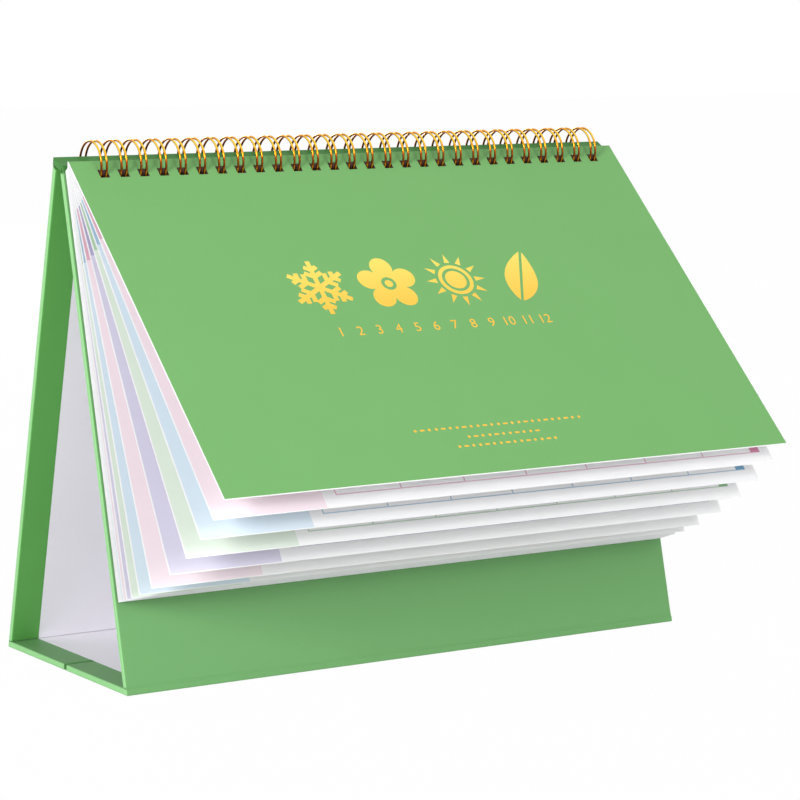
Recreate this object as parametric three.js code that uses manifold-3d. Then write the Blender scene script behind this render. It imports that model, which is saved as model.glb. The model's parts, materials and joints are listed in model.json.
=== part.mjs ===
// Desk calendar: a wrapped-board easel that stands like a tent, with turning leaves on a twin-loop wire.
// Millimetres. +X runs along the ridge to the right, +Y to the back, +Z up.
// The origin lies on the table, under the middle of the rear half of the base.
import * as THREE from "three";
import { mergeVertices } from "three/addons/utils/BufferGeometryUtils.js";
import Module from "manifold-3d";

const wasm = await Module();
wasm.setup();

// Easel: driving sizes
const boardWidth = 256;
const baseDepth = 104;
const ridgeHeight = 198.2;
const ridgeWidth = 8;
const ridgeTilt = 20.5; // degrees, the front edge of the ridge strip lies lower
const greyboard = 2.0;
const wrapPaper = 0.25;
const glueLine = 0.05;
const turnIn = 12; // covering paper folded over the left and right ends
const edgeRound = 0.7;
const panelClearance = 0.3;
const creaseClearance = 0.2;
const baseCreaseGap = 2.4;
const greyboardInset = 0.6; // the square-cut greyboard stays this far inside a slanted end
const overrun = 1; // how far a cutting solid runs past what it cuts
const roundSteps = 3; // facets of a rounded edge

// Binding: driving sizes
const loopPitch = 25.4 / 3;
const loopEndMargin = 13; // no loop stands nearer than this to the end of the boards
const twinSpacing = 2.3;
const wireDiameter = 0.9;
const ringRadius = 9.2;
const ringInset = -1.0; // ring centre measured outwards from the face of the front board
const ringDrop = -0.3; // ring centre measured down the front board from the ridge crease
const seamGap = 18; // degrees of arc left open between roots and tips
const seamAngle = -77.5; // degrees, where the seam lies, inside the easel
const holeSize = 4;
const backHoleHeight = 5.5; // the wire moves in these holes while the easel folds
const backHoleShift = 0.9; // and moves away from the ridge, so the holes lie lower by this

// Leaves: driving sizes
const leafSetback = 1; // the leaves are this much shorter than the boards at each end
const leafHeight = 164.2;
const leafThickness = 0.14;
const leafSpacing = 0.18; // from one leaf to the next in the closed pad
const padClearance = 0.35;
const holeMargin = 6.9; // from the top edge of a leaf to the middle of its holes
const leafCorner = 0.3;
const openGaps = 5; // gaps in the raised part of the fan
const firstOpenGap = 3.9; // degrees between the cover and the next leaf
const openGapGrowth = 0.4;
const firstStackGap = 3.6; // degrees, where the fan runs into the stack
const stackGapRatio = 0.62;

const monthNames = [
  "january", "february", "march", "april", "may", "june",
  "july", "august", "september", "october", "november", "december",
];
const leafNames = ["leaf_cover", ...monthNames.map((month) => `leaf_${month}`), "leaf_end"];

const boardThickness = greyboard + 2 * (wrapPaper + glueLine);
const leafWidth = boardWidth - 2 * leafSetback;
const loopCount = 1 + Math.floor((boardWidth - 2 * loopEndMargin) / loopPitch);
const radians = THREE.MathUtils.degToRad;

// Section of the easel, in the (y, z) plane before the origin is moved
const half = baseDepth / 2;
const ridgeRun = ridgeWidth * Math.cos(radians(ridgeTilt));
const ridgeRise = ridgeWidth * Math.sin(radians(ridgeTilt));
const corner = {
  frontFoot: new THREE.Vector2(-half, 0),
  frontRidge: new THREE.Vector2(-ridgeRun / 2, ridgeHeight - ridgeRise),
  backRidge: new THREE.Vector2(ridgeRun / 2, ridgeHeight),
  backFoot: new THREE.Vector2(half, 0),
  baseCrease: new THREE.Vector2(0, 0), // folds about its upper edge, so that the lined faces meet
};
const originShift = half / 2;

// A panel frame: u runs from one crease to the next, w points out of the easel
function panelFrame(from, to) {
  const length = from.distanceTo(to);
  const along = to.clone().sub(from).normalize();
  const outward = new THREE.Vector2(-along.y, along.x);
  const angle = Math.atan2(along.y, along.x);
  return { from, to, length, along, outward, angle };
}

const frames = {
  front: panelFrame(corner.frontFoot, corner.frontRidge),
  ridge: panelFrame(corner.frontRidge, corner.backRidge),
  back: panelFrame(corner.backRidge, corner.backFoot),
  baseBack: panelFrame(corner.backFoot, corner.baseCrease),
  baseFront: panelFrame(corner.baseCrease, corner.frontFoot),
};

// Angle inside the easel between a panel and the one that follows it
function insideAngle(first, second) {
  return Math.PI - (first.angle - second.angle + 4 * Math.PI) % (2 * Math.PI);
}

const angleAt = {
  frontRidge: insideAngle(frames.front, frames.ridge),
  backRidge: insideAngle(frames.ridge, frames.back),
  backFoot: insideAngle(frames.back, frames.baseBack),
  frontFoot: insideAngle(frames.baseFront, frames.front),
};
// Folding flat closes both ridge creases by the same angle
const foldShare = (angleAt.frontRidge + angleAt.backRidge - Math.PI) / 2;

function toSolid(geometry) {
  const bare = geometry.clone();
  bare.deleteAttribute("normal");
  bare.deleteAttribute("uv");
  const merged = mergeVertices(bare, 1e-5);
  return new wasm.Manifold(new wasm.Mesh({
    numProp: 3,
    vertProperties: new Float32Array(merged.attributes.position.array),
    triVerts: new Uint32Array(merged.index.array),
  }));
}

function toGeometry(solid) {
  const mesh = solid.getMesh();
  const geometry = new THREE.BufferGeometry();
  geometry.setAttribute("position", new THREE.BufferAttribute(mesh.vertProperties, 3));
  geometry.setIndex(new THREE.BufferAttribute(mesh.triVerts, 1));
  return geometry;
}

function box(x0, x1, y0, y1, z0, z1) {
  const geometry = new THREE.BoxGeometry(x1 - x0, y1 - y0, z1 - z0);
  geometry.translate((x0 + x1) / 2, (y0 + y1) / 2, (z0 + z1) / 2);
  return geometry;
}

// A closed outline whose corners may be rounded: each point is [a, b, radius]
function roundedShape(points) {
  const shape = new THREE.Shape();
  points.forEach(([a, b, radius = 0], i) => {
    const here = new THREE.Vector2(a, b);
    const before = new THREE.Vector2(...points[(i + points.length - 1) % points.length]);
    const after = new THREE.Vector2(...points[(i + 1) % points.length]);
    const start = here.clone().add(before.sub(here).setLength(radius));
    const end = here.clone().add(after.sub(here).setLength(radius));
    if (i === 0) shape.moveTo(start.x, start.y);
    else shape.lineTo(start.x, start.y);
    if (radius > 0) shape.quadraticCurveTo(here.x, here.y, end.x, end.y);
  });
  shape.closePath();
  return shape;
}

// An outline in (u, v) drawn out along X; v is the depth below the outer face
function drawnAlongX(shape, width) {
  const geometry = new THREE.ExtrudeGeometry(shape, {
    depth: width, bevelEnabled: false, curveSegments: roundSteps,
  });
  // shape x -> local y, shape y -> local -z, extrusion -> local x
  const basis = new THREE.Matrix4().makeBasis(
    new THREE.Vector3(0, 1, 0),
    new THREE.Vector3(0, 0, -1),
    new THREE.Vector3(-1, 0, 0),
  );
  geometry.applyMatrix4(basis);
  geometry.translate(width / 2, 0, 0);
  return geometry;
}

// Middles of the wire loops along X
function loopCentre(index) {
  return (index - (loopCount - 1) / 2) * loopPitch;
}

// A row of square-cornered holes as one solid, which cuts straight through the sheet at z = 0
function punches(y, height) {
  let row = null;
  const reach = 2 * boardThickness;
  for (let i = 0; i < loopCount; i += 1) {
    const x = loopCentre(i);
    const punch = toSolid(box(
      x - holeSize / 2, x + holeSize / 2,
      y - height / 2, y + height / 2,
      -reach, reach,
    ));
    row = row ? row.add(punch) : punch;
  }
  return row;
}

// How a panel ends: where its board stops at the outer face, how that end leans with depth, and
// how near to the crease its covering paper runs on
function panelEnd(reach, lean, flap = null) {
  return { reach, lean, flap };
}

// Covering paper, greyboard and lining of one panel, in the panel's own frame
function panelPieces(frame, start, end, holes) {
  const depth = boardThickness;
  const uStart = (v) => start.reach + v * start.lean;
  const uEnd = (v) => frame.length - end.reach - v * end.lean;
  const outline = [];
  if (start.flap === null) {
    outline.push([uStart(0), 0, edgeRound]);
  } else {
    outline.push([start.flap, 0], [start.flap, wrapPaper], [uStart(wrapPaper), wrapPaper]);
  }
  outline.push([uStart(depth), depth, edgeRound / 2], [uEnd(depth), depth, edgeRound / 2]);
  if (end.flap === null) {
    outline.push([uEnd(0), 0, edgeRound]);
  } else {
    outline.push([uEnd(wrapPaper), wrapPaper]);
    outline.push([frame.length - end.flap, wrapPaper], [frame.length - end.flap, 0]);
  }
  const drawn = toSolid(drawnAlongX(roundedShape(outline), boardWidth));

  // the left and right ends are rounded too
  const w = boardWidth / 2;
  const endShape = roundedShape([
    [-w, 0, edgeRound], [w, 0, edgeRound], [w, -depth, edgeRound], [-w, -depth, edgeRound],
  ]);
  const ends = new THREE.ExtrudeGeometry(endShape, {
    depth: frame.length + 2 * overrun, bevelEnabled: false, curveSegments: roundSteps,
  });
  ends.rotateX(Math.PI / 2);
  ends.translate(0, frame.length + overrun, 0);
  const hull = drawn.intersect(toSolid(ends));

  // square-cut greyboard
  const skin = wrapPaper + glueLine;
  const coreStart = Math.max(uStart(skin), uStart(depth - skin)) + greyboardInset;
  const coreEnd = Math.min(uEnd(skin), uEnd(depth - skin)) - greyboardInset;
  const coreWidth = w - skin;
  const core = box(-coreWidth, coreWidth, coreStart, coreEnd, -depth + skin, -skin);
  const pocket = box(
    -coreWidth - glueLine, coreWidth + glueLine,
    coreStart - glueLine, coreEnd + glueLine,
    -depth + wrapPaper, -wrapPaper,
  );

  // lining on the inner face, between the turned-in ends
  const liningHalf = w - turnIn;
  const liningStart = coreStart + glueLine;
  const liningEnd = coreEnd - glueLine;
  const lining = box(-liningHalf, liningHalf, liningStart, liningEnd, -depth, -depth + wrapPaper);
  const window = box(
    -liningHalf - glueLine, liningHalf + glueLine,
    coreStart - glueLine, coreEnd + glueLine,
    -depth - overrun, -depth + wrapPaper + glueLine,
  );

  let board = toSolid(core);
  let paper = hull.subtract(toSolid(pocket)).subtract(toSolid(window));
  let liner = toSolid(lining);
  if (holes) {
    const row = punches(holes.u, holes.height);
    board = board.subtract(row);
    paper = paper.subtract(row);
    liner = liner.subtract(row);
  }
  return { board: toGeometry(board), wrap: toGeometry(paper), lining: toGeometry(liner) };
}

function material(color, roughness, metalness = 0) {
  return new THREE.MeshStandardMaterial({ color, roughness, metalness, side: THREE.FrontSide });
}

const calendar = new THREE.Group();
calendar.position.y = -originShift;

function addMesh(parent, name, geometry, look) {
  const mesh = new THREE.Mesh(geometry, look);
  mesh.name = name;
  parent.add(mesh);
}

function addPanel(name, frame, start, end, holes = null) {
  const group = new THREE.Group();
  group.position.set(0, frame.from.x, frame.from.y);
  group.rotation.x = frame.angle;
  const pieces = panelPieces(frame, start, end, holes);
  addMesh(group, `${name}_wrap`, pieces.wrap, material(0x7fbf72, 0.75));
  addMesh(group, `${name}_board`, pieces.board, material(0x9b968c, 0.9));
  addMesh(group, `${name}_lining`, pieces.lining, material(0xd8d6e2, 0.8));
  calendar.add(group);
}

// Ring centre, set out from the ridge crease of the front board
const ringCentre = corner.frontRidge.clone()
  .addScaledVector(frames.front.outward, ringInset)
  .addScaledVector(frames.front.along, -ringDrop);

// Distance up a panel at which the ring passes through the middle of its thickness
function ringCrossing(frame) {
  const fromStart = ringCentre.clone().sub(frame.from);
  const foot = fromStart.dot(frame.along);
  const offset = fromStart.dot(frame.outward) + boardThickness / 2;
  const reach = Math.sqrt(ringRadius ** 2 - offset ** 2);
  const awayFromRidge = frame === frames.front ? -1 : 1;
  return foot + awayFromRidge * reach;
}

// Ends of the panels. A board that stands on its neighbour stops above the neighbour's inner face.
function standsOn(angle) {
  return { reach: (boardThickness + panelClearance) / Math.sin(angle), lean: 1 / Math.tan(angle) };
}
// A board whose end face lies behind the paper that its neighbour carries on to the crease
function behindPaper(angle) {
  return { reach: (wrapPaper + creaseClearance) / Math.sin(angle), lean: 1 / Math.tan(angle) };
}
const closedFrontRidge = angleAt.frontRidge - foldShare;
const closedBackRidge = angleAt.backRidge - foldShare;
const frontFootEnd = standsOn(angleAt.frontFoot);
const frontTopEnd = standsOn(closedFrontRidge);
const backTopEnd = standsOn(closedBackRidge);
const backFootEnd = standsOn(angleAt.backFoot);
const ridgeBackEnd = behindPaper(closedBackRidge);
const baseBackEnd = behindPaper(angleAt.backFoot);

addPanel(
  "front", frames.front,
  panelEnd(frontFootEnd.reach, frontFootEnd.lean),
  panelEnd(frontTopEnd.reach, frontTopEnd.lean, creaseClearance),
  { u: ringCrossing(frames.front), height: holeSize },
);
addPanel(
  "ridge", frames.ridge,
  panelEnd(creaseClearance, 0),
  panelEnd(ridgeBackEnd.reach, ridgeBackEnd.lean),
);
addPanel(
  "back", frames.back,
  panelEnd(backTopEnd.reach, backTopEnd.lean, creaseClearance),
  panelEnd(backFootEnd.reach, backFootEnd.lean, creaseClearance),
  { u: ringCrossing(frames.back) + backHoleShift, height: backHoleHeight },
);
addPanel(
  "base_back", frames.baseBack,
  panelEnd(baseBackEnd.reach, baseBackEnd.lean),
  panelEnd(baseCreaseGap / 2, 0, creaseClearance),
);
addPanel(
  "base_front", frames.baseFront,
  panelEnd(baseCreaseGap / 2, 0, creaseClearance),
  panelEnd(0, 1 / Math.tan(angleAt.frontFoot)),
);

// Path of the wire: up one side of a finger, round its tip, down the other side and on to the
// next finger along the root. Angles run from the root inside the easel, out at the front, over
// the ridge and in again at the back.
const rootAngle = radians(seamAngle - seamGap / 2);
const tipAngle = radians(seamAngle + seamGap / 2 - 360);
const legSteps = 9; // straight pieces in one leg of a finger
const bendSteps = 2; // points round the tip of a finger
const rootEase = 1 / 3; // how far into the root bend the corner is cut across
const wireSides = 5;

function ringPoint(x, angle, radius = ringRadius) {
  return new THREE.Vector3(
    x,
    ringCentre.x + radius * Math.cos(angle),
    ringCentre.y + radius * Math.sin(angle),
  );
}

function wirePath() {
  const points = [];
  const bend = twinSpacing / 2;
  const bendArc = bend / ringRadius;
  const legStart = rootAngle - bendArc;
  const legEnd = tipAngle + bendArc;
  for (let i = 0; i < loopCount; i += 1) {
    const middle = loopCentre(i);
    const left = middle - bend;
    const right = middle + bend;
    for (let k = 0; k <= legSteps; k += 1) {
      points.push(ringPoint(left, legStart + (legEnd - legStart) * (k / legSteps)));
    }
    for (let k = 1; k <= bendSteps; k += 1) {
      const turn = Math.PI * (k / (bendSteps + 1));
      points.push(ringPoint(middle - bend * Math.cos(turn), legEnd - bendArc * Math.sin(turn)));
    }
    for (let k = 0; k <= legSteps; k += 1) {
      points.push(ringPoint(right, legEnd + (legStart - legEnd) * (k / legSteps)));
    }
    if (i < loopCount - 1) {
      const next = loopCentre(i + 1) - bend;
      points.push(ringPoint(right + bend * rootEase, rootAngle - bendArc * rootEase));
      points.push(ringPoint(right + bend, rootAngle));
      points.push(ringPoint(next - bend, rootAngle));
      points.push(ringPoint(next - bend * rootEase, rootAngle - bendArc * rootEase));
    }
  }
  return points;
}

// One unbroken tube of a few sides round a list of points, closed at both ends.
// Each ring of the tube is turned least from the one before it.
function tubeAlong(points, radius, sides) {
  const tangents = points.map((point, i) => {
    const before = points[Math.max(i - 1, 0)];
    const after = points[Math.min(i + 1, points.length - 1)];
    return after.clone().sub(before).normalize();
  });
  const positions = [];
  let normal = new THREE.Vector3(1, 0, 0).cross(tangents[0]).normalize();
  points.forEach((point, i) => {
    if (i > 0) {
      const turn = new THREE.Quaternion().setFromUnitVectors(tangents[i - 1], tangents[i]);
      normal.applyQuaternion(turn);
      normal.addScaledVector(tangents[i], -normal.dot(tangents[i])).normalize();
    }
    const side = tangents[i].clone().cross(normal);
    for (let k = 0; k < sides; k += 1) {
      const a = (2 * Math.PI * k) / sides;
      const offset = normal.clone().multiplyScalar(Math.cos(a) * radius);
      offset.addScaledVector(side, Math.sin(a) * radius);
      positions.push(...point.clone().add(offset).toArray());
    }
  });
  const index = [];
  for (let i = 0; i < points.length - 1; i += 1) {
    for (let k = 0; k < sides; k += 1) {
      const a = i * sides + k;
      const b = i * sides + ((k + 1) % sides);
      index.push(a, b, a + sides, b, b + sides, a + sides);
    }
  }
  const last = (points.length - 1) * sides;
  for (let k = 1; k < sides - 1; k += 1) {
    index.push(0, k + 1, k);
    index.push(last, last + k, last + k + 1);
  }
  const geometry = new THREE.BufferGeometry();
  geometry.setAttribute("position", new THREE.Float32BufferAttribute(positions, 3));
  geometry.setIndex(index);
  return geometry;
}

// Least distance between stretches of the wire that are not neighbours, less its diameter
function leastGap(points, diameter) {
  let least = Infinity;
  const apart = 4; // pieces this far on are no longer neighbours
  const compared = 4 * legSteps; // reaches the finger after the next one
  const middle = new THREE.Vector3();
  for (let i = 0; i < points.length - 1; i += 1) {
    middle.addVectors(points[i], points[i + 1]).multiplyScalar(0.5);
    for (let k = i + apart; k < Math.min(points.length - 1, i + compared); k += 1) {
      const line = new THREE.Line3(points[k], points[k + 1]);
      const nearest = line.closestPointToPoint(middle, true, new THREE.Vector3());
      least = Math.min(least, nearest.distanceTo(middle));
    }
  }
  return least - diameter;
}

const wirePoints = wirePath();
console.log(`least gap of the wire to itself: ${leastGap(wirePoints, wireDiameter).toFixed(2)} mm`);
addMesh(
  calendar, "binding_wire", tubeAlong(wirePoints, wireDiameter / 2, wireSides),
  material(0xe6a020, 0.25, 1),
);

// How far each leaf is raised from the closed pad, in degrees, the cover first
function leafLifts() {
  const lifts = [0];
  for (let gap = leafNames.length - 2; gap >= 0; gap -= 1) {
    const step = gap < openGaps
      ? firstOpenGap + gap * openGapGrowth
      : firstStackGap * stackGapRatio ** (gap - openGaps);
    lifts.unshift(lifts[0] + step);
  }
  return lifts;
}

// A leaf in its own frame: x across, y up towards the ring centre, z out of the pad
function leafGeometry(offset) {
  const holeDown = Math.sqrt(ringRadius ** 2 - offset ** 2);
  const top = holeMargin - holeDown;
  const bottom = top - leafHeight;
  const w = leafWidth / 2;
  const outline = roundedShape([
    [-w, bottom, leafCorner], [w, bottom, leafCorner], [w, top], [-w, top],
  ]);
  const sheet = new THREE.ExtrudeGeometry(outline, {
    depth: leafThickness, bevelEnabled: false, curveSegments: 2,
  });
  const geometry = toGeometry(toSolid(sheet).subtract(punches(-holeDown, holeSize)));
  geometry.translate(0, 0, offset);
  return geometry;
}

const leafColours = [0xf6dce8, 0xd3e7f5, 0xdcefd8, 0xdcd5ec];
const lifts = leafLifts();
const padPivot = new THREE.Group();
padPivot.position.set(0, ringCentre.x, ringCentre.y);
calendar.add(padPivot);
leafNames.forEach((name, i) => {
  const behind = leafNames.length - 1 - i;
  const offset = -ringInset + padClearance + behind * leafSpacing;
  const turn = new THREE.Group();
  // closed, a leaf lies along the front board; raising it turns it up and away
  turn.rotation.x = frames.front.angle - radians(lifts[i]);
  const colour = i === 0 ? 0x82c176 : leafColours[(i - 1) % leafColours.length];
  addMesh(turn, name, leafGeometry(offset), material(colour, 0.6));
  padPivot.add(turn);
});

export default calendar;
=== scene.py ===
"""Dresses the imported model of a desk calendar: wrapped easel boards, a gold twin-loop wire,
a green cover with foil shapes, twelve printed month pages, a floor, lamps and a camera.

Metres. +X runs along the ridge to the right, +Y to the back, +Z up.
"""
import json
import math

import bmesh
import bpy
import numpy as np
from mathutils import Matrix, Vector


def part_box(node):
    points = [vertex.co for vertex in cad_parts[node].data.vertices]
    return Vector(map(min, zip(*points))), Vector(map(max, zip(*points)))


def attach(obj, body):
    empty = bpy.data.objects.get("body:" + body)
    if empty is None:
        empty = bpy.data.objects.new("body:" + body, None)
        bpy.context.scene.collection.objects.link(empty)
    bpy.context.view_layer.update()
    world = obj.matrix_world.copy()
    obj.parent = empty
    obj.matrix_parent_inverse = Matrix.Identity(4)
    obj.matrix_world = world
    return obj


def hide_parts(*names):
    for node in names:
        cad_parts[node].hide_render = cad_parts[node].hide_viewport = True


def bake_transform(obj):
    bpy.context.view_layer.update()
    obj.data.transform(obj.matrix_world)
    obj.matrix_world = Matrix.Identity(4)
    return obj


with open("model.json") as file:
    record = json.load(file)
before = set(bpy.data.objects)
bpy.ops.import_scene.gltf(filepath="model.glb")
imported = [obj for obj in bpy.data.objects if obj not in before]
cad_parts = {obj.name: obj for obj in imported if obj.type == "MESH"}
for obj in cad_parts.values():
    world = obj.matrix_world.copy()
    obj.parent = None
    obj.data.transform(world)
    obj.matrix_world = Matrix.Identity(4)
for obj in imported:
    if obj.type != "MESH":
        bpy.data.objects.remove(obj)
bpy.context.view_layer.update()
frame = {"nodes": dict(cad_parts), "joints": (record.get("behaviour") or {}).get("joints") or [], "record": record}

bl_info = {
    "name": "Desk calendar",
    "version": (1, 0, 0),
    "blender": (4, 5, 0),
    "location": "View3D > Sidebar > Calendar",
    "description": "Builds the visible pieces of a desk calendar round its packed model",
    "category": "Object",
}

MM = 0.001


def srgb(red, green, blue):
    """The linear colour of three 0 to 255 screen values."""
    values = np.array([red, green, blue]) / 255
    linear = np.where(values <= 0.04045, values / 12.92, ((values + 0.055) / 1.055) ** 2.4)
    return tuple(float(v) for v in linear)


def joint_point(name):
    """Where a joint of the frame lies, in the row frame."""
    found = [j for j in frame["joints"] if j["name"] == name]
    return Vector(found[0]["pos_m"])


def body_with(node):
    """The body that carries a CAD node."""
    bodies = frame["record"]["behaviour"]["bodies"]
    return next(name for name, nodes in bodies.items() if node in nodes)


PANELS = ("front", "ridge", "back", "base_back", "base_front")
MONTHS = (
    "january", "february", "march", "april", "may", "june",
    "july", "august", "september", "october", "november", "december",
)
DAYS = (31, 28, 31, 30, 31, 30, 31, 31, 30, 31, 30, 31)
TINTS = ("pink", "blue", "green", "purple")
FIRST_WEEKDAY = 5  # the column in which January begins, from 0
WEEK = 7
RING = joint_point("pad_turn")
# The CAD node that reaches as far along the ridge as each kind of strip
EXTENT = {"covering": "front_wrap", "lining": "back_lining"}
WIRE_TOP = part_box("binding_wire")[1].z


# Settings that a user would change


def in_mm(name, description, millimetres, precision=5):
    """A length property whose default is given in millimetres."""
    return bpy.props.FloatProperty(
        name=name, description=description, default=millimetres * MM, unit="LENGTH",
        precision=precision)


def in_degrees(name, description, degrees):
    """An angle property whose default is given in degrees."""
    return bpy.props.FloatProperty(
        name=name, description=description, default=math.radians(degrees), unit="ROTATION")


class CalendarSizes(bpy.types.PropertyGroup):
    """Sizes that a user of the calendar would change."""

    wire: in_mm("Wire", "Diameter of the binding wire", 0.9)
    loops: bpy.props.IntProperty(
        name="Loops", description="How many twin loops the wire has", default=28, min=2)
    pitch: in_mm("Pitch", "From one twin loop to the next", 25.4 / 3)
    twin: in_mm("Twin spacing", "Between the two wires of one loop", 2.3)
    seam_angle: in_degrees("Seam angle", "Where the seam lies, below the ring's level", -77.5)
    seam_gap: in_degrees("Seam gap", "Arc that stays open between roots and tips", 18)
    hole: in_mm("Hole", "Side of a square hole", 4)
    corner: in_mm("Corner", "Radius of a leaf's lower corners", 0.3)
    rim: in_mm("Rim", "Unprinted edge of a leaf", 0.4)
    foil: in_mm("Foil", "How far foil and printed figures stand proud", 0.02, precision=6)


def colour(name, description, red, green, blue):
    """A colour property whose default is given as screen values."""
    return bpy.props.FloatVectorProperty(
        name=name, description=description, subtype="COLOR", size=3, min=0, max=1,
        default=srgb(red, green, blue))


class CalendarColours(bpy.types.PropertyGroup):
    """Colours that a user of the calendar would change."""

    wrap: colour("Covering paper", "Paper on the outside of the boards", 107, 162, 100)
    # painted highlight on the covering paper where it turns round a board's end
    wrap_edge: colour("Covering paper, ends", "Where it turns round a board's end", 152, 213, 144)
    # painted shade: the covering paper made deeper where it is turned in on the inside of the upright boards
    wrap_inner: colour("Covering paper, turned in", "Inside of the upright boards", 100, 173, 87)
    # painted shade: the covering paper painted darker for the narrow ridge strip and the crease strips beside it
    ridge: colour("Ridge paper", "Covering paper on the narrow ridge strip", 70, 134, 62)
    lining: colour("Lining", "Paper on the inside of the boards", 251, 248, 255)
    board: colour("Greyboard", "Bare board", 155, 150, 140)
    wire: colour("Wire", "Gold of the binding wire", 240, 166, 40)
    wire_light: colour("Wire, light", "Where the wire catches the light", 255, 214, 74)
    wire_dark: colour("Wire, dark", "Where the wire turns from the light", 104, 34, 8)
    shade: colour("Shade", "Inside of the punched holes", 112, 84, 76)
    cover: colour("Cover", "Front of the cover leaf", 119, 177, 107)
    sheet: colour("Sheet", "Bare paper of the leaves", 253, 253, 254)
    # painted sheen on the foil: pale at the top of its blend, deeper gold lower down
    foil_top: colour("Foil, upper", "Upper end of the foil's blend", 255, 230, 105)
    foil_low: colour("Foil, lower", "Lower end of the foil's blend", 252, 196, 62)
    pink: colour("Pink", "Column of a pink page", 249, 234, 241)
    blue: colour("Blue", "Column of a blue page", 223, 237, 247)
    green: colour("Green", "Column of a green page", 230, 241, 229)
    purple: colour("Purple", "Column of a purple page", 223, 219, 237)
    pink_deep: colour("Deep pink", "Header and lines of a pink page", 214, 140, 170)
    blue_deep: colour("Deep blue", "Header and lines of a blue page", 120, 170, 205)
    green_deep: colour("Deep green", "Header and lines of a green page", 150, 195, 150)
    purple_deep: colour("Deep purple", "Header and lines of a purple page", 155, 140, 190)
    figure: colour("Figures", "Printed day numbers", 92, 92, 104)


def sizes():
    return bpy.context.scene.calendar_sizes


def colour_of(name):
    """A colour of the settings with full opacity."""
    return (*getattr(bpy.context.scene.calendar_colours, name), 1.0)


# Shader nodes


class Net:
    """Adds nodes to a tree; a value is a number, a colour or another node's socket."""

    def __init__(self, tree):
        self.tree = tree

    def add(self, kind, inputs=(), **settings):
        node = self.tree.nodes.new(kind)
        for key, value in settings.items():
            setattr(node, key, value)
        for key, value in dict(inputs).items():
            self.put(value, node.inputs[key])
        return node

    def put(self, value, socket):
        """Gives a socket its value, or links it to the socket that has it."""
        if isinstance(value, bpy.types.NodeSocket):
            self.tree.links.new(value, socket)
        else:
            socket.default_value = value

    def group(self, tree, inputs):
        node = self.add("ShaderNodeGroup", node_tree=tree)
        for key, value in inputs.items():
            self.put(value, node.inputs[key])  # these exist once the node has its tree
        return node.outputs

    def place(self):
        """X, Y and Z of a point of the object."""
        place = self.add("ShaderNodeTexCoord").outputs["Object"]
        return self.add("ShaderNodeSeparateXYZ", {"Vector": place}).outputs

    def page(self):
        """X and Y of a point on its leaf, from 0 to 1."""
        page = self.add("ShaderNodeUVMap", uv_map="page").outputs["UV"]
        return self.add("ShaderNodeSeparateXYZ", {"Vector": page}).outputs

    def math(self, operation, first, second=0.0, third=0.0):
        inputs = {0: first, 1: second, 2: third}
        return self.add("ShaderNodeMath", inputs, operation=operation).outputs[0]

    def between(self, value, low, high):
        """1 where value lies between low and high, else 0."""
        above = self.math("GREATER_THAN", value, low)
        below = self.math("LESS_THAN", value, high)
        return self.math("MULTIPLY", above, below)

    def both(self, first, second):
        return self.math("MULTIPLY", first, second)

    def either(self, first, second):
        return self.math("MAXIMUM", first, second)

    def mix(self, share, first, second):
        inputs = {0: share, 6: first, 7: second}
        return self.add("ShaderNodeMix", inputs, data_type="RGBA").outputs[2]

    def rise(self, value, start, end, course="SMOOTHSTEP"):
        """0 where value is at start, 1 where it is at end, and between them as course says."""
        inputs = {"Value": value, "From Min": start, "From Max": end}
        node = self.add("ShaderNodeMapRange", inputs, interpolation_type=course)
        return node.outputs["Result"]

    def seen(self):
        """1 where the camera, a reflection or a view through glass sees the point, else 0."""
        path = self.add("ShaderNodeLightPath").outputs
        seen = self.either(path["Is Camera Ray"], path["Is Glossy Ray"])
        return self.either(seen, path["Is Transmission Ray"])


def new_material(name, paint, roughness, metallic=0.0):
    """A Principled material in a colour of the settings, its net and its shader."""
    material = bpy.data.materials.new(name)
    material.use_nodes = True
    material.diffuse_color = colour_of(paint)
    shader = material.node_tree.nodes["Principled BSDF"]
    shader.inputs["Base Color"].default_value = colour_of(paint)
    shader.inputs["Roughness"].default_value = roughness
    shader.inputs["Metallic"].default_value = metallic
    shader.inputs["Specular IOR Level"].default_value = 0.5 if metallic else 0.2
    return material, Net(material.node_tree), shader


def shared_group(name, given, results, fill):
    """A node group, made once: fill(net, given) returns the sockets that go to results.

    Given and results are the names of the sockets, each with its kind."""
    if name in bpy.data.node_groups:
        return bpy.data.node_groups[name]
    group = bpy.data.node_groups.new(name, "ShaderNodeTree")
    for side, sockets in ("INPUT", given), ("OUTPUT", results):
        for socket, kind in sockets.items():
            group.interface.new_socket(socket, in_out=side, socket_type=f"NodeSocket{kind}")
    made = fill(Net(group), group.nodes.new("NodeGroupInput").outputs)
    result = group.nodes.new("NodeGroupOutput")
    for socket, value in zip(results, made):
        group.links.new(value, result.inputs[socket])
    return group


def paper_grain_group():
    """Fine fibre of paper: a tint that varies a little, and a height for a bump."""
    def fill(net, given):
        place = net.add("ShaderNodeTexCoord").outputs["Object"]
        fine = net.add("ShaderNodeTexNoise", {
            "Vector": place, "Scale": given["Scale"], "Detail": 5.0, "Roughness": 0.65})
        broad = net.add("ShaderNodeTexNoise", {"Vector": place, "Scale": 30.0, "Detail": 2.0})
        spread = net.math("SUBTRACT", broad.outputs["Fac"], 0.5)
        speck = net.math("SUBTRACT", fine.outputs["Fac"], 0.5)
        value = net.math("MULTIPLY_ADD", net.math("ADD", spread, speck), given["Mottle"], 1.0)
        tinted = net.add("ShaderNodeHueSaturation", {"Value": value, "Color": given["Colour"]})
        return tinted.outputs["Color"], fine.outputs["Fac"]

    return shared_group(
        "Paper grain", {"Colour": "Color", "Scale": "Float", "Mottle": "Float"},
        {"Colour": "Color", "Height": "Float"}, fill)


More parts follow.
